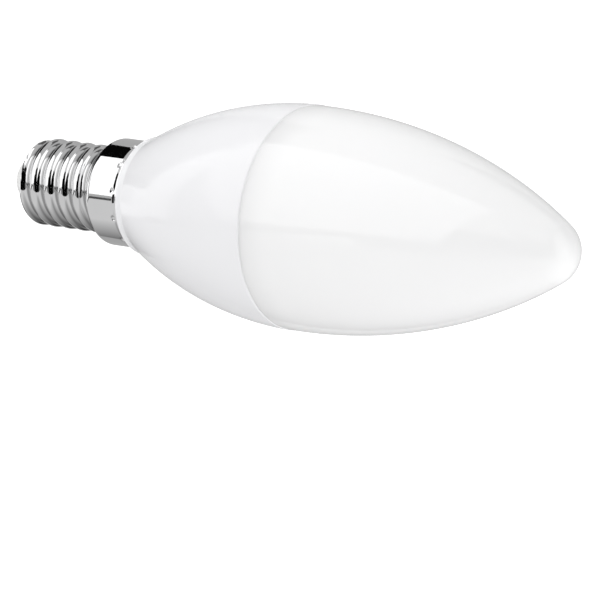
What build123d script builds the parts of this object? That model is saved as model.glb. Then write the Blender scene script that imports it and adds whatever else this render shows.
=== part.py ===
"""LED candle lamp on a small screw cap, upright, with the centre contact's end at z = 0."""
from build123d import *
import math
import os

# Driving dimensions, in millimetres
WIDEST_DIAMETER = 35.0
DIFFUSER_HEIGHT = 50.2
NOSE_RADIUS = 5.6
DIFFUSER_SETBACK = 0.1
BULGE_RISE = 1.5
SPIGOT_STEP = 1.9
SPIGOT_LENGTH = 2.5

HOUSING_HEIGHT = 30.6
FOOT_OVERHANG = 0.85
FOOT_HEIGHT = 1.2
FOOT_ROUND = 0.45
RIM_LEAN = 1.0
RIM_ROUND = 0.35

CAP_HEIGHT = 25.2
SKIRT_DIAMETER = 16.8
SKIRT_LENGTH = 5.6
SHOULDER_RADIUS = 1.2
SHELL_WALL = 0.35
EDGE_LEAN = 0.25
EDGE_LEAN_HEIGHT = 1.0

THREAD_DIAMETER = 13.8
THREAD_PITCH = 2.822
THREAD_ARC_RADIUS = 0.822
THREAD_BORE_DIAMETER = 11.2
THREAD_PHASE = -139.0
ROOT_LAND = 0.5

END_RIM_HEIGHT = 3.6
END_RIM_ROUND = 1.5
END_RIM_WALL = 0.5
END_OPENING_DIAMETER = 9.0

STAKE_COUNT = 12
STAKE_DIAMETER = 1.0
STAKE_DEPTH = 0.35
STAKE_BELOW_EDGE = 0.65
STAKE_PHASE = 1.0

INSULATOR_FLANGE = 3.0
INSULATOR_FACE_DIAMETER = 6.0
INSULATOR_FACE_HEIGHT = 0.7
CONTACT_DIAMETER = 5.0
CONTACT_FLAT_DIAMETER = 4.0
SHANK_DIAMETER = 2.0
SHANK_LENGTH = 2.0

FIT_CLEARANCE = 0.08

# Levels and radii that follow from the driving dimensions
widest_radius = WIDEST_DIAMETER / 2
spigot_radius = widest_radius - DIFFUSER_SETBACK - SPIGOT_STEP
skirt_radius = SKIRT_DIAMETER / 2
foot_radius = skirt_radius + FOOT_OVERHANG
crest_radius = THREAD_DIAMETER / 2
bore_radius = THREAD_BORE_DIAMETER / 2
opening_radius = END_OPENING_DIAMETER / 2
foot_level = CAP_HEIGHT
seam_level = foot_level + HOUSING_HEIGHT
tip_level = seam_level + DIFFUSER_HEIGHT
skirt_level = foot_level - SKIRT_LENGTH
lean_level = foot_level - EDGE_LEAN_HEIGHT
rim_inside_level = END_RIM_HEIGHT + END_RIM_WALL
flange_level = rim_inside_level + INSULATOR_FLANGE


def arc_point(centre, radius, degrees):
    """Point on a circle, with the angle counted from the outward radial direction."""
    angle = math.radians(degrees)
    return (centre[0] + radius * math.cos(angle), centre[1] + radius * math.sin(angle))


def turned(points_to_wire):
    """Revolves a closed half section, drawn as radius and height, into a solid."""
    face = make_face(points_to_wire)
    return revolve(Plane.XZ * face, Axis.Z)


def ring_edges(body, radius, level):
    """Full circles of one radius at one height."""
    return body.edges().filter_by(GeomType.CIRCLE).filter_by(
        lambda edge: math.isclose(edge.radius, radius, abs_tol=0.01)
        and math.isclose(edge.center().Z, level, abs_tol=0.01)
    )


def make_diffuser():
    """Opal dome: one long arc, widest just above the seam, that runs into a small round nose."""
    bulge = widest_radius - DIFFUSER_SETBACK
    nose_level = tip_level - NOSE_RADIUS
    rise = nose_level - seam_level - BULGE_RISE
    flank_radius = (rise**2 + bulge**2 - NOSE_RADIUS**2) / (2 * (bulge - NOSE_RADIUS))
    flank_centre = (bulge - flank_radius, seam_level + BULGE_RISE)
    join_angle = math.degrees(math.atan2(rise, -flank_centre[0]))
    foot_angle = -math.degrees(math.asin(BULGE_RISE / flank_radius))
    join = arc_point(flank_centre, flank_radius, join_angle)
    foot = arc_point(flank_centre, flank_radius, foot_angle)
    spigot_level = seam_level - SPIGOT_LENGTH
    section = [
        Polyline(
            (0, tip_level),
            (0, spigot_level),
            (spigot_radius, spigot_level),
            (spigot_radius, seam_level),
            foot,
        ),
        ThreePointArc(foot, arc_point(flank_centre, flank_radius, (foot_angle + join_angle) / 2), join),
        ThreePointArc(join, arc_point((0, nose_level), NOSE_RADIUS, (join_angle + 90) / 2), (0, tip_level)),
    ]
    return turned(section)


def make_housing():
    """White moulded housing: one arc from the short straight foot up to the seam, with a stepped neck in the cap."""
    crown_level = seam_level + RIM_LEAN
    foot_top = foot_level + FOOT_HEIGHT
    drop = widest_radius - foot_radius
    height = crown_level - foot_top
    wall_radius = (drop**2 + height**2) / (2 * drop)
    wall_centre = (widest_radius - wall_radius, crown_level)
    low_angle = math.degrees(math.asin((foot_top - crown_level) / wall_radius))
    high_angle = math.degrees(math.asin((seam_level - crown_level) / wall_radius))
    seam_point = arc_point(wall_centre, wall_radius, high_angle)
    recess = spigot_radius + FIT_CLEARANCE
    recess_level = seam_level - SPIGOT_LENGTH - FIT_CLEARANCE
    neck = skirt_radius - SHELL_WALL - FIT_CLEARANCE
    stem = bore_radius - FIT_CLEARANCE
    section = [
        Polyline(
            (foot_radius, foot_top),
            (foot_radius, foot_level),
            (neck - EDGE_LEAN, foot_level),
            (neck, lean_level),
            (neck, skirt_level),
            (stem, skirt_level),
            (stem, flange_level),
            (0, flange_level),
            (0, recess_level),
            (recess, recess_level),
            (recess, seam_level),
            seam_point,
        ),
        ThreePointArc(
            seam_point,
            arc_point(wall_centre, wall_radius, (low_angle + high_angle) / 2),
            (foot_radius, foot_top),
        ),
    ]
    body = turned(section)
    body = fillet(ring_edges(body, foot_radius, foot_level), FOOT_ROUND)
    return fillet(ring_edges(body, seam_point[0], seam_level), RIM_ROUND)


def thread_ridge():
    """Right-hand knuckle thread: a crest arc between two hollow root arcs, swept along the helix."""
    arc = THREAD_ARC_RADIUS
    half_pitch = THREAD_PITCH / 2
    depth = 2 * arc - math.sqrt((2 * arc)**2 - half_pitch**2)
    root_radius = crest_radius - depth
    crest_centre = (crest_radius - arc, 0)
    join_angle = math.degrees(math.acos((2 * arc - depth) / (2 * arc)))
    land_angle = math.degrees(math.asin(ROOT_LAND / 2 / arc))
    end_angle = land_angle / 2
    base = root_radius - depth / 2

    def side(sign):
        root_centre = (root_radius + arc, sign * half_pitch)
        join = arc_point(crest_centre, arc, sign * join_angle)
        middle = arc_point(root_centre, arc, 180 + sign * (join_angle + end_angle) / 2)
        end = arc_point(root_centre, arc, 180 + sign * end_angle)
        return join, middle, end

    low_join, low_middle, low_end = side(-1)
    high_join, high_middle, high_end = side(1)
    section = [
        ThreePointArc(low_end, low_middle, low_join),
        ThreePointArc(low_join, (crest_radius, 0), high_join),
        ThreePointArc(high_join, high_middle, high_end),
        Polyline(high_end, (base, high_end[1]), (base, low_end[1]), low_end),
    ]
    first_level = END_RIM_HEIGHT + half_pitch / 4
    last_level = skirt_level + half_pitch
    helix = Helix(THREAD_PITCH, last_level - first_level, crest_radius)
    ridge = sweep(Plane.XZ * make_face(section), path=helix, is_frenet=True)
    core_radius = root_radius + arc * (1 - math.cos(math.radians(land_angle)))
    turn = THREAD_PHASE + 360 * (first_level - END_RIM_HEIGHT) / THREAD_PITCH
    return Pos(0, 0, first_level) * Rot(0, 0, turn) * ridge, core_radius


def make_screw_shell():
    """Plated cap shell: threaded part, rounded shoulder and skirt, its edge crimped and staked to the neck."""
    ridge, core_radius = thread_ridge()
    core_height = skirt_level - END_RIM_HEIGHT
    core = Pos(0, 0, END_RIM_HEIGHT + core_height / 2) * Cylinder(core_radius, core_height)
    end_flat = crest_radius - END_RIM_ROUND
    end_centre = (end_flat, END_RIM_HEIGHT + END_RIM_ROUND)
    end_top = arc_point(end_centre, END_RIM_ROUND, 0)
    above = foot_level + SHELL_WALL
    rounded_end = [
        ThreePointArc((end_flat, END_RIM_HEIGHT), arc_point(end_centre, END_RIM_ROUND, -45), end_top),
        Polyline(
            end_top,
            (skirt_radius + SHELL_WALL, end_top[1] + END_RIM_ROUND),
            (skirt_radius + SHELL_WALL, above),
            (0, above),
            (0, END_RIM_HEIGHT),
            (end_flat, END_RIM_HEIGHT),
        ),
    ]
    threaded = (core + ridge) & turned(rounded_end)
    shoulder_centre = (skirt_radius - SHOULDER_RADIUS, skirt_level)
    shoulder_foot = arc_point(shoulder_centre, SHOULDER_RADIUS, -90)
    skirt = [
        ThreePointArc(
            shoulder_foot,
            arc_point(shoulder_centre, SHOULDER_RADIUS, -45),
            (skirt_radius, skirt_level),
        ),
        Polyline(
            (skirt_radius, skirt_level),
            (skirt_radius, lean_level),
            (skirt_radius - EDGE_LEAN, foot_level),
            (0, foot_level),
            (0, shoulder_foot[1]),
            shoulder_foot,
        ),
    ]
    shell = threaded + turned(skirt)
    skirt_bore = skirt_radius - SHELL_WALL
    inside = Polyline(
        (0, END_RIM_HEIGHT - END_RIM_WALL),
        (opening_radius, END_RIM_HEIGHT - END_RIM_WALL),
        (opening_radius, rim_inside_level),
        (bore_radius, rim_inside_level),
        (bore_radius, skirt_level - FIT_CLEARANCE),
        (skirt_bore, skirt_level - FIT_CLEARANCE),
        (skirt_bore, lean_level),
        (skirt_bore - EDGE_LEAN, foot_level),
        (skirt_bore - EDGE_LEAN, foot_level + SHELL_WALL),
        (0, foot_level + SHELL_WALL),
        close=True,
    )
    shell -= turned(inside)
    ball_radius = (STAKE_DIAMETER**2 / 4 + STAKE_DEPTH**2) / (2 * STAKE_DEPTH)
    ball_place = skirt_radius + ball_radius - STAKE_DEPTH
    for index in range(STAKE_COUNT):
        turn = STAKE_PHASE + 360 * index / STAKE_COUNT
        shell -= Rot(0, 0, turn) * Pos(ball_place, 0, foot_level - STAKE_BELOW_EDGE) * Sphere(ball_radius)
    return shell


def make_insulator():
    """White end insulator: a flange inside the turned-in rim and a cone that carries the contact."""
    flange = bore_radius - FIT_CLEARANCE
    collar = opening_radius - FIT_CLEARANCE
    face = INSULATOR_FACE_DIAMETER / 2
    hole = SHANK_DIAMETER / 2 + FIT_CLEARANCE
    hole_level = INSULATOR_FACE_HEIGHT + SHANK_LENGTH + FIT_CLEARANCE
    section = Polyline(
        (hole, INSULATOR_FACE_HEIGHT),
        (face, INSULATOR_FACE_HEIGHT),
        (collar, END_RIM_HEIGHT),
        (collar, rim_inside_level),
        (flange, rim_inside_level),
        (flange, flange_level),
        (0, flange_level),
        (0, hole_level),
        (hole, hole_level),
        close=True,
    )
    return turned(section)


def make_centre_contact():
    """Plated contact button: a domed head with a small flat end, on a shank pressed into the insulator."""
    head = CONTACT_DIAMETER / 2
    flat = CONTACT_FLAT_DIAMETER / 2
    shank = SHANK_DIAMETER / 2
    dome_radius = ((head - flat)**2 + INSULATOR_FACE_HEIGHT**2) / (2 * (head - flat))
    dome_centre = (head - dome_radius, INSULATOR_FACE_HEIGHT)
    low_angle = -math.degrees(math.asin(INSULATOR_FACE_HEIGHT / dome_radius))
    shank_level = INSULATOR_FACE_HEIGHT + SHANK_LENGTH
    section = [
        Polyline((head, INSULATOR_FACE_HEIGHT), (shank, INSULATOR_FACE_HEIGHT), (shank, shank_level), (0, shank_level),
                 (0, 0), (flat, 0)),
        ThreePointArc((flat, 0), arc_point(dome_centre, dome_radius, low_angle / 2), (head, INSULATOR_FACE_HEIGHT)),
    ]
    return turned(section)


os.makedirs("parts", exist_ok=True)
export_step(make_diffuser(), "parts/diffuser.step")
export_step(make_housing(), "parts/housing.step")
export_step(make_screw_shell(), "parts/screw_shell.step")
export_step(make_insulator(), "parts/insulator.step")
export_step(make_centre_contact(), "parts/centre_contact.step")
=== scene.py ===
# %% [markdown]
# A candle lamp with an LED inside: a white moulded housing, an opal diffuser shaped like a flame, and a
# small bright screw cap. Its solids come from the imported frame, which fixes every size and place. This
# lesson dresses them: each piece is turned again as a fine mesh, because bright plating shows every facet
# of a coarse one, and each gets its own finish. Lengths are in metres and the lamp stands upright on its
# contact at z = 0.

# %% Load the frame and keep its box
import math

import bmesh
import bpy
from mathutils import Matrix, Vector


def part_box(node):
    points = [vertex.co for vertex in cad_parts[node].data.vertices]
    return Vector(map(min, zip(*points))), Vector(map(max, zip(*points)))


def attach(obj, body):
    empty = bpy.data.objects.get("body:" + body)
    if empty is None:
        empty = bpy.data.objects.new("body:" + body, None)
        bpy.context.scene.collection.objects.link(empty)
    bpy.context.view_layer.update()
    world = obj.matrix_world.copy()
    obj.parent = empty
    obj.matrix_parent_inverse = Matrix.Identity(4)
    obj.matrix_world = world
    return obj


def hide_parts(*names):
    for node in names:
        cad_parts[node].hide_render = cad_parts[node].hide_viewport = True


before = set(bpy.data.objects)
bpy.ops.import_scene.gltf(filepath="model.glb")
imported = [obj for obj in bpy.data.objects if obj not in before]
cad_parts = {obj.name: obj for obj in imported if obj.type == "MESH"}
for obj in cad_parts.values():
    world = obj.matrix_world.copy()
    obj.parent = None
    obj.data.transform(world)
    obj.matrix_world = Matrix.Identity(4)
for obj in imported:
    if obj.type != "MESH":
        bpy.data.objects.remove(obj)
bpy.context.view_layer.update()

MM = 0.001
print("nodes in the frame:", sorted(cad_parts))

# %% [markdown]
# Every piece of this lamp is round, so one small set of drawing moves makes them all. A half section is
# drawn in the XZ plane as a chain of edges: a line is one extruded vertex, and an arc is a vertex spun
# about the arc's centre. Spinning the finished chain about Z turns the piece, as on a lathe. Typing the
# points by hand would also work, but then the arcs would be lists of numbers instead of a centre and an
# angle.

# %% Drawing moves for a half section
def begin(section, radius, level):
    """First vertex of a half section."""
    return bmesh.ops.create_vert(section, co=(radius, 0.0, level))["vert"][0]


def line_to(section, vert, radius, level, cuts=0):
    """Extrudes the last vertex to a new place, with evenly spaced vertices on the way."""
    start = vert.co.copy()
    end = Vector((radius, 0.0, level))
    for step in range(cuts + 1):
        vert = bmesh.ops.extrude_vert_indiv(section, verts=[vert])["verts"][0]
        vert.co = start.lerp(end, (step + 1) / (cuts + 1))
    return vert


def arc_to(section, vert, centre, degrees, steps):
    """Spins the last vertex about a centre (radius, level); positive angles turn outwards to upwards."""
    made = bmesh.ops.spin(
        section,
        geom=[vert],
        cent=(centre[0], 0.0, centre[1]),
        axis=(0.0, -1.0, 0.0),
        angle=math.radians(degrees),
        steps=steps,
    )
    return next(part for part in made["geom_last"] if isinstance(part, bmesh.types.BMVert))


# %% [markdown]
# A finished half section is turned once round Z. The spin leaves doubled vertices on the axis, so these
# are merged and the normals are worked out again. The piece then rides on the lamp's one body and stands
# for its solid. It is smooth apart from real edges, with enough steps that no facet shows in the plating.
# A Screw modifier would turn it too, but the thread and the dimples need the turned vertices.

# %% Turning a half section into a piece
def turn(section, steps):
    """Spins the half section once round Z and closes the seam and the poles."""
    bmesh.ops.spin(
        section,
        geom=section.verts[:] + section.edges[:],
        cent=(0.0, 0.0, 0.0),
        axis=(0.0, 0.0, 1.0),
        angle=math.tau,
        steps=steps,
        use_merge=True,
    )
    bmesh.ops.remove_doubles(section, verts=section.verts[:], dist=0.0005 * MM)
    bmesh.ops.recalc_face_normals(section, faces=section.faces[:])


SHARP_ANGLE = math.radians(38)
BODY_STEPS = 180
SHELL_STEPS = 256
END_STEPS = 96


def finished(section, name, node):
    """Makes the turned mesh a piece that rides on the lamp and stands for its solid."""
    mesh = bpy.data.meshes.new(name)
    section.to_mesh(mesh)
    section.free()
    mesh.polygons.foreach_set("use_smooth", [True] * len(mesh.polygons))
    mesh.set_sharp_from_angle(angle=SHARP_ANGLE)
    piece = bpy.data.objects.new(name, mesh)
    bpy.context.scene.collection.objects.link(piece)
    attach(piece, "root")
    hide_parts(node)
    low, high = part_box(node)
    span = [vertex.co.z for vertex in mesh.vertices]
    print(name, "has", len(mesh.polygons), "faces, and its height differs from the solid's by",
          round((max(span) - min(span) - (high.z - low.z)) / MM, 4), "mm")
    return piece


print("steps round the body, the shell and the end:", BODY_STEPS, SHELL_STEPS, END_STEPS)

# %% [markdown]
# The levels that pieces share are read from the frame: the seam is the top of the housing, the foot of
# the housing is the top of the screw shell, and the tip is the top of the diffuser. The widths that a box
# can't show are named here once, as on a drawing.

# %% Shared levels and widths
tip_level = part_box("diffuser")[1].z
seam_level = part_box("housing")[1].z
foot_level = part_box("screw_shell")[1].z
end_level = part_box("screw_shell")[0].z
skirt_radius = 8.4 * MM
skirt_length = 5.6 * MM
edge_lean = 0.25 * MM
edge_lean_height = 1.0 * MM
lean_level = foot_level - edge_lean_height
widest_radius = 17.5 * MM
print("seam", round(seam_level / MM, 2), "tip", round(tip_level / MM, 2), "foot", round(foot_level / MM, 2))

# %% [markdown]
# The diffuser is an opal moulding. Its flank is one long arc, widest just above the seam, that runs into
# a small round nose. The flank's radius isn't measured: it follows from the height, the width and the
# nose, because the two arcs touch inside each other. A subdivided cone would look close, but its curve
# would wander from the solid.

# %% Diffuser
bulge_radius = widest_radius - 0.1 * MM
bulge_rise = 1.5 * MM
nose_radius = 5.6 * MM
spigot_radius = 15.5 * MM
spigot_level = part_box("diffuser")[0].z
nose_level = tip_level - nose_radius
rise = nose_level - seam_level - bulge_rise
flank_radius = (rise**2 + bulge_radius**2 - nose_radius**2) / (2 * (bulge_radius - nose_radius))
flank_centre = (bulge_radius - flank_radius, seam_level + bulge_rise)
flank_angle = math.degrees(math.atan2(rise, -flank_centre[0]))
foot_angle = math.degrees(math.asin(bulge_rise / flank_radius))

section = bmesh.new()
pen = begin(section, 0.0, tip_level)
pen = arc_to(section, pen, (0.0, nose_level), flank_angle - 90, steps=24)
pen = arc_to(section, pen, flank_centre, -flank_angle - foot_angle, steps=110)
pen = line_to(section, pen, spigot_radius, seam_level)
pen = line_to(section, pen, spigot_radius, spigot_level)
line_to(section, pen, 0.0, spigot_level)
turn(section, BODY_STEPS)
diffuser = finished(section, "opal_diffuser", "diffuser")
print("flank radius", round(flank_radius / MM, 1), "mm over", round(flank_angle, 1), "degrees")

# %% [markdown]
# The housing is one white moulding. Its wall is a single arc from the short straight foot up to the seam,
# where the rim has a small round that catches the light. The neck below the foot is hidden in the cap,
# and is kept so that the piece has the solid's form. A bent cylinder would come close too, but the arc's
# radius follows from the width at the foot and at the seam, so it needs no fitting.

# %% Housing
foot_radius = skirt_radius + 0.85 * MM
foot_round = 0.45 * MM
rim_round = 0.35 * MM
rim_lean = 1.0 * MM
foot_top = foot_level + 1.2 * MM
neck_radius = 7.97 * MM
neck_level = foot_level - skirt_length
stem_radius = 5.52 * MM
stem_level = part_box("housing")[0].z
recess_radius = spigot_radius + 0.08 * MM
recess_level = spigot_level - 0.08 * MM
crown_level = seam_level + rim_lean
wall_drop = widest_radius - foot_radius
wall_height = crown_level - foot_top
wall_radius = (wall_drop**2 + wall_height**2) / (2 * wall_drop)
wall_centre = (widest_radius - wall_radius, crown_level)
wall_low = math.degrees(math.asin((foot_top - crown_level) / wall_radius))
rim_centre_level = seam_level - rim_round
rim_reach = math.sqrt((wall_radius - rim_round)**2 - (rim_centre_level - crown_level)**2)
rim_centre = (wall_centre[0] + rim_reach, rim_centre_level)
wall_high = math.degrees(math.atan2(rim_centre_level - crown_level, rim_reach))

section = bmesh.new()
pen = begin(section, 0.0, recess_level)
pen = line_to(section, pen, recess_radius, recess_level)
pen = line_to(section, pen, recess_radius, seam_level)
pen = line_to(section, pen, rim_centre[0], seam_level)
pen = arc_to(section, pen, rim_centre, wall_high - 90, steps=10)
pen = arc_to(section, pen, wall_centre, wall_low - wall_high, steps=80)
pen = line_to(section, pen, foot_radius, foot_level + foot_round)
pen = arc_to(section, pen, (foot_radius - foot_round, foot_level + foot_round), -90, steps=10)
pen = line_to(section, pen, neck_radius - edge_lean, foot_level)
pen = line_to(section, pen, neck_radius, lean_level)
pen = line_to(section, pen, neck_radius, neck_level)
pen = line_to(section, pen, stem_radius, neck_level)
pen = line_to(section, pen, stem_radius, stem_level)
line_to(section, pen, 0.0, stem_level)
turn(section, BODY_STEPS)
housing = finished(section, "white_housing", "housing")
print("wall radius", round(wall_radius / MM, 1), "mm")

# %% [markdown]
# The screw shell is thin sheet, rolled and plated: a knuckle thread, a round shoulder and a plain skirt,
# with a ring of small dimples that stake it to the housing. Its thread is two arcs of one radius, a crest
# and a root, that meet without a corner. A spin with a step along Z would make the thread alone, but its
# two ends would then have to be sewn to the rim and the shoulder. So the shell is turned with its rings
# close together, and each vertex is then moved in or out to the thread's own radius at its height and
# angle: one closed skin.

# %% Radius of the shell's outside at any height and angle
crest_radius = 6.9 * MM
pitch = 2.822 * MM
thread_arc = 0.822 * MM
thread_phase = math.radians(-139.0)
end_round = 1.5 * MM
shoulder_radius = 1.2 * MM
shoulder_top = foot_level - skirt_length
thread_depth = 2 * thread_arc - math.sqrt((2 * thread_arc)**2 - (pitch / 2)**2)
crest_half_width = pitch / 4


def thread_reach(level, angle):
    """Radius of the right-hand thread: crest arc, then root arc."""
    turns = (level - end_level) / pitch - (angle - thread_phase) / math.tau
    offset = abs(turns - round(turns)) * pitch
    if offset <= crest_half_width:
        return crest_radius - thread_arc + math.sqrt(thread_arc**2 - offset**2)
    from_root = pitch / 2 - offset
    return crest_radius - thread_depth + thread_arc - math.sqrt(thread_arc**2 - from_root**2)


def round_reach(centre_radius, centre_level, radius, level):
    """Radius of a rounded corner at a level, and of its centre outside the corner."""
    height = level - centre_level
    return centre_radius + math.sqrt(max(radius**2 - height**2, 0.0))


def shell_reach(level, angle):
    """Thread drawn in at the rounded end and swallowed by the shoulder at the top."""
    reach = thread_reach(level, angle)
    if level < end_level + end_round:
        reach = min(reach, round_reach(crest_radius - end_round, end_level + end_round, end_round, level))
    if level > shoulder_top - shoulder_radius:
        reach = max(reach, round_reach(skirt_radius - shoulder_radius, shoulder_top, shoulder_radius, level))
    return reach


print("thread depth", round(thread_depth / MM, 3), "mm, turns", round((shoulder_top - end_level) / pitch, 2))

# %% [markdown]
# The skirt's edge is crimped inwards onto the housing's neck, and small dimples pressed with a round
# punch stake it there. Both are shaped in the same way as the thread: a vertex near the edge rolls in
# over a short height, where the solid has a plain cone, and one that lies inside a dimple moves in to the
# punch's ball. The dimples show just clear of the housing's foot, so here they sit half a millimetre
# lower than in the solid, and a little shallower, to leave some wall behind them.

# %% Radius of the skirt's outside at any height and angle
stake_count = 12
stake_radius = 0.5 * MM
stake_depth = 0.3 * MM
stake_level = foot_level - 1.15 * MM
stake_phase = math.radians(1.0)
roll_height = 0.4 * MM
roll_start = lean_level - 0.16 * MM
ball_radius = (stake_radius**2 + stake_depth**2) / (2 * stake_depth)
ball_reach = skirt_radius + ball_radius - stake_depth


def skirt_reach(level, angle):
    """Radius of the skirt's outside: plain, then rolled in at the edge, with a ring of dimples."""
    roll = min(max((level - roll_start) / roll_height, 0.0), 1.0)
    reach = skirt_radius - edge_lean * roll**2 * (3 - 2 * roll)
    spacing = math.tau / stake_count
    stakes = (angle - stake_phase) / spacing
    along = (stakes - round(stakes)) * spacing * skirt_radius
    distance = math.hypot(along, level - stake_level)
    if distance < ball_radius:
        reach = min(reach, ball_reach - math.sqrt(ball_radius**2 - distance**2))
    return reach


print("edge rolls in by", round(edge_lean / MM, 2), "mm")
print(stake_count, "dimples are", round(stake_depth / MM, 2), "mm deep")

# %% [markdown]
# Now the shell itself. Its half section is drawn with plain straight walls, with many rings where the
# thread, the rolled edge and the dimples will be. After the turn, each vertex of the outside moves to its
# own radius, and the vertices of the inside stay where the turn put them.

# %% Screw shell
opening_radius = 4.5 * MM
bore_radius = 5.6 * MM
rim_wall = 0.5 * MM
shell_wall = 0.35 * MM
ring_gap = 0.055 * MM
step_level = shoulder_top - 0.08 * MM
fine_level = lean_level - 0.8 * MM
skirt_cuts = 40
level_margin = 0.001 * MM
wall_margin = 0.01 * MM

section = bmesh.new()
pen = begin(section, opening_radius, end_level + rim_wall)
pen = line_to(section, pen, opening_radius, end_level)
pen = line_to(section, pen, crest_radius - end_round, end_level)
pen = arc_to(section, pen, (crest_radius - end_round, end_level + end_round), 90, steps=16)
thread_rings = round((shoulder_top - end_level - end_round) / ring_gap)
pen = line_to(section, pen, skirt_radius, shoulder_top, cuts=thread_rings)
pen = line_to(section, pen, skirt_radius, fine_level)
pen = line_to(section, pen, skirt_radius, foot_level, cuts=skirt_cuts)
pen = line_to(section, pen, skirt_radius - shell_wall - edge_lean, foot_level)
pen = line_to(section, pen, skirt_radius - shell_wall, lean_level)
pen = line_to(section, pen, skirt_radius - shell_wall, step_level)
pen = line_to(section, pen, bore_radius, step_level)
pen = line_to(section, pen, bore_radius, end_level + rim_wall)
line_to(section, pen, opening_radius, end_level + rim_wall)
turn(section, SHELL_STEPS)
for vertex in section.verts:
    place = vertex.co
    reach = math.hypot(place.x, place.y)
    angle = math.atan2(place.y, place.x)
    inside = skirt_radius - shell_wall if place.z > step_level - wall_margin else bore_radius
    if reach < inside + wall_margin:
        continue
    if place.z < shoulder_top - level_margin:
        new_reach = shell_reach(place.z, angle)
    else:
        new_reach = skirt_reach(place.z, angle)
    place.x *= new_reach / reach
    place.y *= new_reach / reach
screw_shell = finished(section, "plated_screw_shell", "screw_shell")

# %% [markdown]
# Two small turned pieces close the cap's end: a white insulator that the rolled rim holds, and the plated
# button that touches the holder's spring. Both are seen only from below, so they need few steps.

# %% Insulator and centre contact
face_level = 0.7 * MM
face_radius = 3.0 * MM
collar_radius = 4.42 * MM
flange_radius = 5.52 * MM
hole_radius = 1.08 * MM
hole_level = face_level + 2.08 * MM
flange_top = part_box("insulator")[1].z
section = bmesh.new()
pen = begin(section, 0.0, hole_level)
pen = line_to(section, pen, hole_radius, hole_level)
pen = line_to(section, pen, hole_radius, face_level)
pen = line_to(section, pen, face_radius, face_level)
pen = line_to(section, pen, collar_radius, end_level, cuts=2)
pen = line_to(section, pen, collar_radius, end_level + rim_wall)
pen = line_to(section, pen, flange_radius, end_level + rim_wall)
pen = line_to(section, pen, flange_radius, flange_top)
line_to(section, pen, 0.0, flange_top)
turn(section, END_STEPS)
insulator = finished(section, "end_insulator", "insulator")

head_radius = 2.5 * MM
flat_radius = 2.0 * MM
shank_radius = 1.0 * MM
shank_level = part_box("centre_contact")[1].z
dome_radius = ((head_radius - flat_radius)**2 + face_level**2) / (2 * (head_radius - flat_radius))
dome_angle = math.degrees(math.asin(face_level / dome_radius))
section = bmesh.new()
pen = begin(section, 0.0, shank_level)
pen = line_to(section, pen, shank_radius, shank_level)
pen = line_to(section, pen, shank_radius, face_level)
pen = line_to(section, pen, head_radius, face_level)
pen = arc_to(section, pen, (head_radius - dome_radius, face_level), -dome_angle, steps=16)
line_to(section, pen, 0.0, 0.0)
turn(section, END_STEPS)
contact = finished(section, "contact_button", "centre_contact")

# %% [markdown]
# Finishes. Each is one Principled shader fed by noise on Object coordinates, because real plastic and
# plating are never quite even: the colour drifts a little, the gloss comes and goes, and the skin has a
# faint texture. A helper makes the parts that all finishes share. What is the same all over is set on the
# shader itself.

# %% Helper for a finish with drifting colour and gloss
def ramp(nodes, low, high, value_low, value_high):
    """Node that runs from one value to another between two places."""
    made = nodes.new("ShaderNodeMapRange")
    made.inputs["From Min"].default_value = low
    made.inputs["From Max"].default_value = high
    made.inputs["To Min"].default_value = value_low
    made.inputs["To Max"].default_value = value_high
    return made


def new_finish(
    name, pale, dark, drift_scale, gloss_low, gloss_high, grain_scale, grain_strength, grain_depth
):
    """Principled finish: colour and roughness drift with noise, and a fine grain bumps the surface."""
    finish = bpy.data.materials.new(name)
    finish.use_nodes = True
    nodes, links = finish.node_tree.nodes, finish.node_tree.links
    shader = nodes["Principled BSDF"]
    place = nodes.new("ShaderNodeTexCoord")
    drift = nodes.new("ShaderNodeTexNoise")
    drift.inputs["Scale"].default_value = drift_scale
    drift.inputs["Detail"].default_value = 3.0
    links.new(place.outputs["Object"], drift.inputs["Vector"])
    tint = nodes.new("ShaderNodeMix")
    tint.data_type = "RGBA"
    tint.inputs["A"].default_value = (*dark, 1.0)
    tint.inputs["B"].default_value = (*pale, 1.0)
    links.new(drift.outputs["Fac"], tint.inputs["Factor"])
    links.new(tint.outputs["Result"], shader.inputs["Base Color"])
    gloss = ramp(nodes, 0.3, 0.7, gloss_low, gloss_high)
    links.new(drift.outputs["Fac"], gloss.inputs["Value"])
    links.new(gloss.outputs["Result"], shader.inputs["Roughness"])
    grain = nodes.new("ShaderNodeTexNoise")
    grain.inputs["Scale"].default_value = grain_scale
    grain.inputs["Detail"].default_value = 2.0
    links.new(place.outputs["Object"], grain.inputs["Vector"])
    bump = nodes.new("ShaderNodeBump")
    bump.inputs["Strength"].default_value = grain_strength
    bump.inputs["Distance"].default_value = grain_depth
    links.new(grain.outputs["Fac"], bump.inputs["Height"])
    links.new(bump.outputs["Normal"], shader.inputs["Normal"])
    print("finish", name, "roughness", gloss_low, "to", gloss_high)
    return finish, shader


def paint(piece, finish):
    """Gives a piece its one finish."""
    piece.data.materials.clear()
    piece.data.materials.append(finish)


# %% [markdown]
# Two of the finishes have painted shade in their colour: the diffuser next to its seam, and the plating
# in the thread's grooves. A painted map could hold that, but it would need an unwrapped mesh. A place on
# a turned piece is known from its height and its distance from the axis, so a ramp on one of these
# multiplies the colour.

# %% Helpers that paint shade into a finish by height and in grooves
def multiply_colour(finish, shader, factor):
    """Multiplies a finish's base colour by a factor that a node gives."""
    nodes, links = finish.node_tree.nodes, finish.node_tree.links
    shade = nodes.new("ShaderNodeMix")
    shade.data_type = "RGBA"
    shade.blend_type = "MULTIPLY"
    shade.inputs["Factor"].default_value = 1.0
    links.new(shader.inputs["Base Color"].links[0].from_socket, shade.inputs["A"])
    links.new(factor, shade.inputs["B"])
    links.new(shade.outputs["Result"], shader.inputs["Base Color"])


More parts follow.
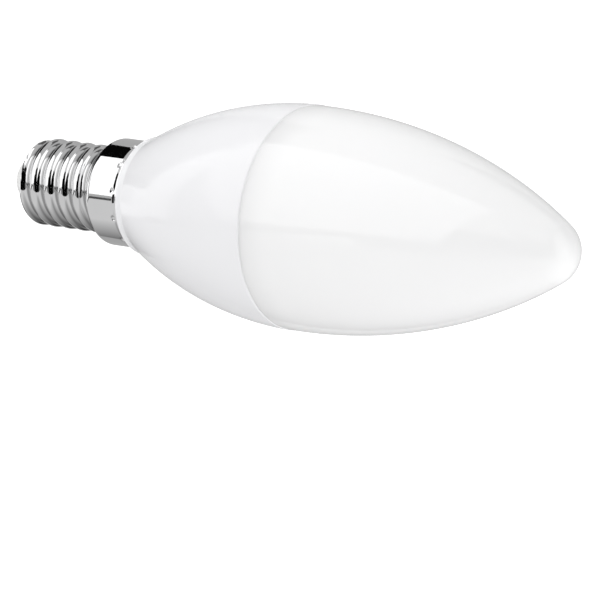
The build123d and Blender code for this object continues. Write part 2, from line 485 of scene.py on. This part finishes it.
def paint_shade_by_height(finish, shader, low, high, shade_low, shade_high):
    """Paints shade into the base colour: multiplies it by a factor that runs smoothly from one level to
    another.
    """
    nodes, links = finish.node_tree.nodes, finish.node_tree.links
    place = nodes.new("ShaderNodeTexCoord")
    split = nodes.new("ShaderNodeSeparateXYZ")
    links.new(place.outputs["Object"], split.inputs["Vector"])
    run = ramp(nodes, low, high, shade_low, shade_high)
    run.interpolation_type = "SMOOTHSTEP"
    links.new(split.outputs["Z"], run.inputs["Value"])
    multiply_colour(finish, shader, run.outputs["Result"])
    print(finish.name, "is shaded up to", round(high / MM, 1), "mm")


def paint_groove_shade(finish, shader, floor_radius, clear_radius, shade, end_low, end_high):
    """Paints shade into the base colour near a groove's floor, and leaves the piece's end as it is."""
    nodes, links = finish.node_tree.nodes, finish.node_tree.links
    place = nodes.new("ShaderNodeTexCoord")
    flat = nodes.new("ShaderNodeVectorMath")
    flat.operation = "MULTIPLY"
    flat.inputs[1].default_value = (1.0, 1.0, 0.0)
    links.new(place.outputs["Object"], flat.inputs[0])
    reach = nodes.new("ShaderNodeVectorMath")
    reach.operation = "LENGTH"
    links.new(flat.outputs["Vector"], reach.inputs[0])
    groove = ramp(nodes, floor_radius, clear_radius, shade, 1.0)
    groove.interpolation_type = "SMOOTHSTEP"
    links.new(reach.outputs["Value"], groove.inputs["Value"])
    split = nodes.new("ShaderNodeSeparateXYZ")
    links.new(place.outputs["Object"], split.inputs["Vector"])
    end = ramp(nodes, end_low, end_high, 1.0, 0.0)
    links.new(split.outputs["Z"], end.inputs["Value"])
    either = nodes.new("ShaderNodeMath")
    either.operation = "MAXIMUM"
    links.new(groove.outputs["Result"], either.inputs[0])
    links.new(end.outputs["Result"], either.inputs[1])
    multiply_colour(finish, shader, either.outputs["Value"])
    print(finish.name, "is darker in grooves of radius", round(floor_radius / MM, 2), "mm")


# %% [markdown]
# Opal plastic lets light in a little way and scatters it, so shadows on it are soft and its edges glow.
# Its skin is smooth enough to mirror a light with a clear edge. Near the seam the solid housing stops the
# light inside, so the diffuser is a little greyer there, most of all in the first few millimetres. That
# shade is painted into the colour with two ramps, one short and one long. A thin translucent shell over
# a white core would glow too, but one shader with subsurface scattering is simpler.

# %% Opal diffuser
opal, shader = new_finish(
    "opal_plastic",
    pale=(0.962, 0.962, 0.965),
    dark=(0.947, 0.947, 0.952),
    drift_scale=60.0,
    gloss_low=0.02,
    gloss_high=0.05,
    grain_scale=900.0,
    grain_strength=0.05,
    grain_depth=0.00002,
)
shader.inputs["Subsurface Weight"].default_value = 0.35
shader.inputs["Subsurface Radius"].default_value = (1.0, 1.0, 1.0)
shader.inputs["Subsurface Scale"].default_value = 0.0025
shader.inputs["Specular IOR Level"].default_value = 0.5
shader.inputs["IOR"].default_value = 1.5
# Painted shade: the colour darkens towards the seam, where the housing stops the light inside the opal.
for seam_reach, seam_shade in ((6.0 * MM, 0.94), (18.0 * MM, 0.97)):
    paint_shade_by_height(opal, shader, seam_level, seam_level + seam_reach, seam_shade, 1.0)
paint(diffuser, opal)

# %% [markdown]
# The housing is nearly the same white but a drier moulding, so the same light shows on it only as a soft
# patch. The opal finish made rougher could serve, but it lets more light in than a plain moulding does, so
# the housing has a finish of its own.

# %% White housing
white, shader = new_finish(
    "white_moulding",
    pale=(0.897, 0.897, 0.912),
    dark=(0.882, 0.882, 0.899),
    drift_scale=45.0,
    gloss_low=0.11,
    gloss_high=0.14,
    grain_scale=1400.0,
    grain_strength=0.12,
    grain_depth=0.00003,
)
shader.inputs["Subsurface Weight"].default_value = 0.12
shader.inputs["Subsurface Radius"].default_value = (1.0, 1.0, 1.0)
shader.inputs["Subsurface Scale"].default_value = 0.001
shader.inputs["Specular IOR Level"].default_value = 0.33
shader.inputs["IOR"].default_value = 1.5
paint(housing, white)

# %% [markdown]
# Nickel plating on rolled sheet is a mirror with a slight drift in gloss where the rollers have rubbed
# it. The floor of the thread's groove gets painted shade: a thin dark line in the colour between the
# bright turns. Dark cards round the lamp could draw that line, but painted shade keeps it in every view.

# %% Plated shell
plating, shader = new_finish(
    "bright_nickel",
    pale=(0.80, 0.80, 0.80),
    dark=(0.74, 0.74, 0.75),
    drift_scale=180.0,
    gloss_low=0.03,
    gloss_high=0.07,
    grain_scale=700.0,
    grain_strength=0.02,
    grain_depth=0.00002,
)
shader.inputs["Metallic"].default_value = 1.0
root_radius = crest_radius - thread_depth
# Painted shade: a thin dark line in the plating's colour along the floor of the thread's groove.
paint_groove_shade(
    plating,
    shader,
    floor_radius=root_radius,
    clear_radius=root_radius + 0.07 * MM,
    shade=0.45,
    end_low=end_level + 0.2 * MM,
    end_high=end_level + 0.6 * MM,
)
paint(screw_shell, plating)

# %% [markdown]
# The contact has the same plating as the shell, but a little yellower and more uneven, because a holder's
# spring rubs it. One nickel could serve for both, and then the button would look as bright as the thread.
# The insulator is a plain dull white moulding.

# %% Contact and insulator
button, shader = new_finish(
    "worn_nickel",
    pale=(0.76, 0.75, 0.73),
    dark=(0.66, 0.65, 0.62),
    drift_scale=900.0,
    gloss_low=0.12,
    gloss_high=0.3,
    grain_scale=2500.0,
    grain_strength=0.2,
    grain_depth=0.00002,
)
shader.inputs["Metallic"].default_value = 1.0
paint(contact, button)

dull, shader = new_finish(
    "dull_white",
    pale=(0.84, 0.84, 0.83),
    dark=(0.78, 0.78, 0.77),
    drift_scale=400.0,
    gloss_low=0.4,
    gloss_high=0.55,
    grain_scale=2500.0,
    grain_strength=0.2,
    grain_depth=0.00003,
)
paint(insulator, dull)

# %% [markdown]
# The camera stands where the photograph was taken from: above the lamp's shoulder on its front side, far
# away with a long lens, and rolled so that the lamp lies across the picture with its tip to the right.
# Its three axes are written as the picture's right, up and back directions in the lamp's own frame. A
# constraint that tracks the lamp would aim the camera too, but it wouldn't roll it.

# %% Camera
picture_right = Vector((-0.13889, 0.58782, 0.79698)).normalized()
picture_back = Vector((-0.0106, -0.80561, 0.59235)).normalized()
picture_up = picture_back.cross(picture_right).normalized()
camera_place = Vector((0.0, -961.87, 763.81)) * MM
studio = Matrix((picture_right, picture_up, picture_back)).transposed()

camera_data = bpy.data.cameras.new("photo_camera")
camera_data.sensor_width = 36.0
camera_data.lens = 467.0
camera_data.clip_start = 0.05
camera_data.clip_end = 20.0
camera = bpy.data.objects.new("photo_camera", camera_data)
camera.matrix_world = Matrix.Translation(camera_place) @ studio.to_4x4()
bpy.context.scene.collection.objects.link(camera)
bpy.context.scene.camera = camera
print("camera", round(camera_place.length, 3), "m from the contact")

# %% [markdown]
# The floor is plain and pale and lies well below the lamp, which hangs in the air as on a holder. For the
# camera it is lifted to white with a little glow of its own, and it still takes the lamp's soft shadow.
# Stronger lamps would whiten it too, but they would wash out the white plastic.

# %% Floor
def seen_directly(nodes, links):
    """One for camera, glossy and transmission rays, and zero for the rays that light the lamp."""
    rays = nodes.new("ShaderNodeLightPath")
    first = nodes.new("ShaderNodeMath")
    first.operation = "MAXIMUM"
    second = nodes.new("ShaderNodeMath")
    second.operation = "MAXIMUM"
    links.new(rays.outputs["Is Camera Ray"], first.inputs[0])
    links.new(rays.outputs["Is Glossy Ray"], first.inputs[1])
    links.new(first.outputs["Value"], second.inputs[0])
    links.new(rays.outputs["Is Transmission Ray"], second.inputs[1])
    return second.outputs["Value"]


floor_level = -0.9
floor_half = 6.0
sheet = bmesh.new()
bmesh.ops.create_grid(sheet, x_segments=1, y_segments=1, size=floor_half,
                      matrix=Matrix.Translation((0.0, 0.0, floor_level)))
floor_mesh = bpy.data.meshes.new("pale_floor")
sheet.to_mesh(floor_mesh)
sheet.free()
floor = bpy.data.objects.new("pale_floor", floor_mesh)
bpy.context.scene.collection.objects.link(floor)

floor_paint = bpy.data.materials.new("pale_floor")
floor_paint.use_nodes = True
nodes, links = floor_paint.node_tree.nodes, floor_paint.node_tree.links
matte = nodes["Principled BSDF"]
matte.inputs["Base Color"].default_value = (0.8, 0.8, 0.8, 1.0)
matte.inputs["Roughness"].default_value = 0.9
matte.inputs["Specular IOR Level"].default_value = 0.0
matte.inputs["Emission Color"].default_value = (1.0, 1.0, 1.0, 1.0)
lift = nodes.new("ShaderNodeMath")
lift.operation = "MULTIPLY"
lift.inputs[1].default_value = 0.6
links.new(seen_directly(nodes, links), lift.inputs[0])
links.new(lift.outputs["Value"], matte.inputs["Emission Strength"])
paint(floor, floor_paint)
print("floor at", floor_level, "m")

# %% [markdown]
# The world is white where it is seen or mirrored, and dimmer where it lights the lamp. A white world
# alone would light the lamp evenly from all sides and flatten it, so soft lamps do the shaping.

# %% White room
world = bpy.data.worlds.new("white_room")
bpy.context.scene.world = world
world.use_nodes = True
nodes, links = world.node_tree.nodes, world.node_tree.links
lighting = nodes["Background"]
lighting.inputs["Color"].default_value = (1.0, 1.0, 1.0, 1.0)
lighting.inputs["Strength"].default_value = 0.64
backdrop = nodes.new("ShaderNodeBackground")
backdrop.inputs["Color"].default_value = (1.0, 1.0, 1.0, 1.0)
backdrop.inputs["Strength"].default_value = 1.0
either = nodes.new("ShaderNodeMixShader")
links.new(seen_directly(nodes, links), either.inputs["Fac"])
links.new(lighting.outputs["Background"], either.inputs[1])
links.new(backdrop.outputs["Background"], either.inputs[2])
links.new(either.outputs["Shader"], nodes["World Output"].inputs["Surface"])
print("room light", lighting.inputs["Strength"].default_value)

# %% [markdown]
# Bright metal is only as good as what it mirrors. A photographer stands cards round a small plated part,
# and so does this studio: a large soft light on each side of the camera, grey walls and ceiling, a table
# below, and black flags that draw the dark lines on the thread. Each is a flat card placed in the
# picture's own directions. They are seen by mirror rays only, so they shape the gloss and the plating and
# leave the room's light and the lamps to the white plastic. A picture of a studio wrapped round the scene
# would do too, but cards are easy to move.

# %% Cards for the plating to mirror
def card(name, centre, across, along, width, height, strength):
    """Flat glowing card: centre and both edge directions are given as picture right, up and back."""
    sheet = bmesh.new()
    bmesh.ops.create_grid(sheet, x_segments=1, y_segments=1, size=0.5)
    edge_across = Vector(across).normalized()
    edge_along = Vector(along).normalized()
    facing = edge_across.cross(edge_along)
    axes = Matrix((edge_across * width, edge_along * height, facing)).transposed().to_4x4()
    place = studio.to_4x4() @ Matrix.Translation(Vector(centre)) @ axes
    bmesh.ops.transform(sheet, matrix=place, verts=sheet.verts[:])
    mesh = bpy.data.meshes.new(name)
    sheet.to_mesh(mesh)
    sheet.free()
    made = bpy.data.objects.new(name, mesh)
    bpy.context.scene.collection.objects.link(made)
    glow = bpy.data.materials.new(name)
    glow.use_nodes = True
    shader = glow.node_tree.nodes["Principled BSDF"]
    shader.inputs["Base Color"].default_value = (0.0, 0.0, 0.0, 1.0)
    shader.inputs["Specular IOR Level"].default_value = 0.0
    shader.inputs["Emission Color"].default_value = (1.0, 1.0, 1.0, 1.0)
    shader.inputs["Emission Strength"].default_value = strength
    paint(made, glow)
    made.visible_camera = False
    made.visible_diffuse = False
    made.visible_transmission = False
    made.visible_shadow = False
    print("card", name, "glows at", strength)
    return made


# Picture directions, in which the cards are placed.
RIGHT, UP, BACK = (1.0, 0.0, 0.0), (0.0, 1.0, 0.0), (0.0, 0.0, 1.0)
card("soft_light", (-0.316, 0.28, 0.263), (0.604, 0.0, 0.797), (0.441, 0.833, -0.334), 0.663, 0.75, 1.5)
card("ceiling", (0.0, 0.95, 0.0), RIGHT, BACK, 2.0, 2.0, 0.55)
card("dark_flag", (-0.275, 0.49, -0.291), (0.707, 0.0, -0.707), (-0.133, 0.982, 0.133), 0.44, 0.83, 0.002)
card("low_light", (-0.43, 0.11, -0.614), (0.819, 0.0, -0.574), UP, 0.52, 0.22, 0.95)
card("far_wall", (0.0, 0.42, -0.81), RIGHT, UP, 2.0, 1.08, 0.47)
card("left_wall", (-0.95, 0.42, 0.0), BACK, UP, 2.0, 1.08, 0.5)
card("right_wall", (0.95, 0.42, 0.0), BACK, UP, 2.0, 1.08, 0.5)
card("camera_wall", (0.0, 0.42, 0.95), RIGHT, UP, 2.0, 1.08, 0.75)
card("dark_front", (0.132, -0.06, 0.85), RIGHT, UP, 1.06, 0.6, 0.002)
card("camera_body", (0.206, 0.335, 0.84), RIGHT, UP, 0.558, 0.19, 0.01)
card("dark_right", (0.669, 0.94, -0.411), (0.805, 0.0, 0.593), (0.593, 0.0, -0.805), 0.8, 0.5, 0.12)
card("table_far", (0.39, -0.11, -0.45), RIGHT, BACK, 1.02, 0.7, 0.45)
card("dark_low_front", (-0.36, -0.18, 0.62), RIGHT, UP, 0.52, 0.19, 0.28)
card("dark_low_left", (-0.62, -0.1025, 0.14), BACK, UP, 0.96, 0.045, 0.08)
card("right_light", (0.49, 0.28, 0.344), (0.574, 0.0, -0.819), UP, 0.42, 0.74, 1.5)

# %% [markdown]
# The table isn't lit evenly. It is pale towards the soft light and under the diffuser, and falls off to
# dark behind the cap, which gives the lower half of the plating its slow change of grey. Two ramps across
# the table, each along its own direction, give that, and the brighter of the two counts.

# %% Table with a fall of light
table = card("table", (0.0, -0.12, -0.325), RIGHT, BACK, 1.9, 1.25, 0.4)
nodes, links = table.data.materials[0].node_tree.nodes, table.data.materials[0].node_tree.links
place = nodes.new("ShaderNodeTexCoord")


def glow_along(direction, low, high, glow_low, glow_high):
    """Glow of the table that changes along a picture direction, between two distances from the origin."""
    along = nodes.new("ShaderNodeVectorMath")
    along.operation = "DOT_PRODUCT"
    along.inputs[1].default_value = studio @ Vector(direction)
    links.new(place.outputs["Object"], along.inputs[0])
    glow = ramp(nodes, low, high, glow_low, glow_high)
    links.new(along.outputs["Value"], glow.inputs["Value"])
    return glow.outputs["Result"]


brighter = nodes.new("ShaderNodeMath")
brighter.operation = "MAXIMUM"
links.new(glow_along((-0.766, 0.0, 0.643), -0.08, 0.09, 0.03, 0.72), brighter.inputs[0])
links.new(glow_along(RIGHT, 0.06, 0.2, 0.0, 0.9), brighter.inputs[1])
links.new(brighter.outputs["Value"], nodes["Principled BSDF"].inputs["Emission Strength"])
print(table.name, "glows by the brighter of its two ramps")

# %% [markdown]
# Broad lamps on every side give the white plastic its gentle roundness. The strongest stand behind and
# above and low on the right, so the lower left of the housing stays a little darker. All are large, so
# their shadows are soft, and all are kept out of the mirrors, where the cards do that work.

# %% Soft lamps
lamp_side = 1.0


def soft_lamp(name, picture_place, power):
    """Square area lamp aimed at the lamp's middle from a place given as picture right, up and back."""
    data = bpy.data.lights.new(name, "AREA")
    data.shape = "SQUARE"
    data.size = lamp_side
    data.energy = power
    made = bpy.data.objects.new(name, data)
    place = studio @ Vector(picture_place)
    aim = (-place).to_track_quat("-Z", "Y").to_matrix().to_4x4()
    made.matrix_world = Matrix.Translation(place) @ aim
    made.visible_glossy = False
    made.visible_camera = False
    bpy.context.scene.collection.objects.link(made)
    print(name, "at", [round(value, 2) for value in place])


soft_lamp("top_lamp", (-0.6, 1.0, 0.15), 3.7)
soft_lamp("top_back_lamp", (-0.2, 1.0, -0.6), 5.4)
soft_lamp("left_lamp", (-1.1, 0.2, 0.3), 2.2)
soft_lamp("low_right_lamp", (1.0, -0.8, 0.0), 5.4)
soft_lamp("low_lamp", (-0.2, -1.0, 0.0), 1.8)
soft_lamp("front_lamp", (0.15, -0.1, 1.1), 3.45)
bpy.context.scene.view_settings.view_transform = "Standard"
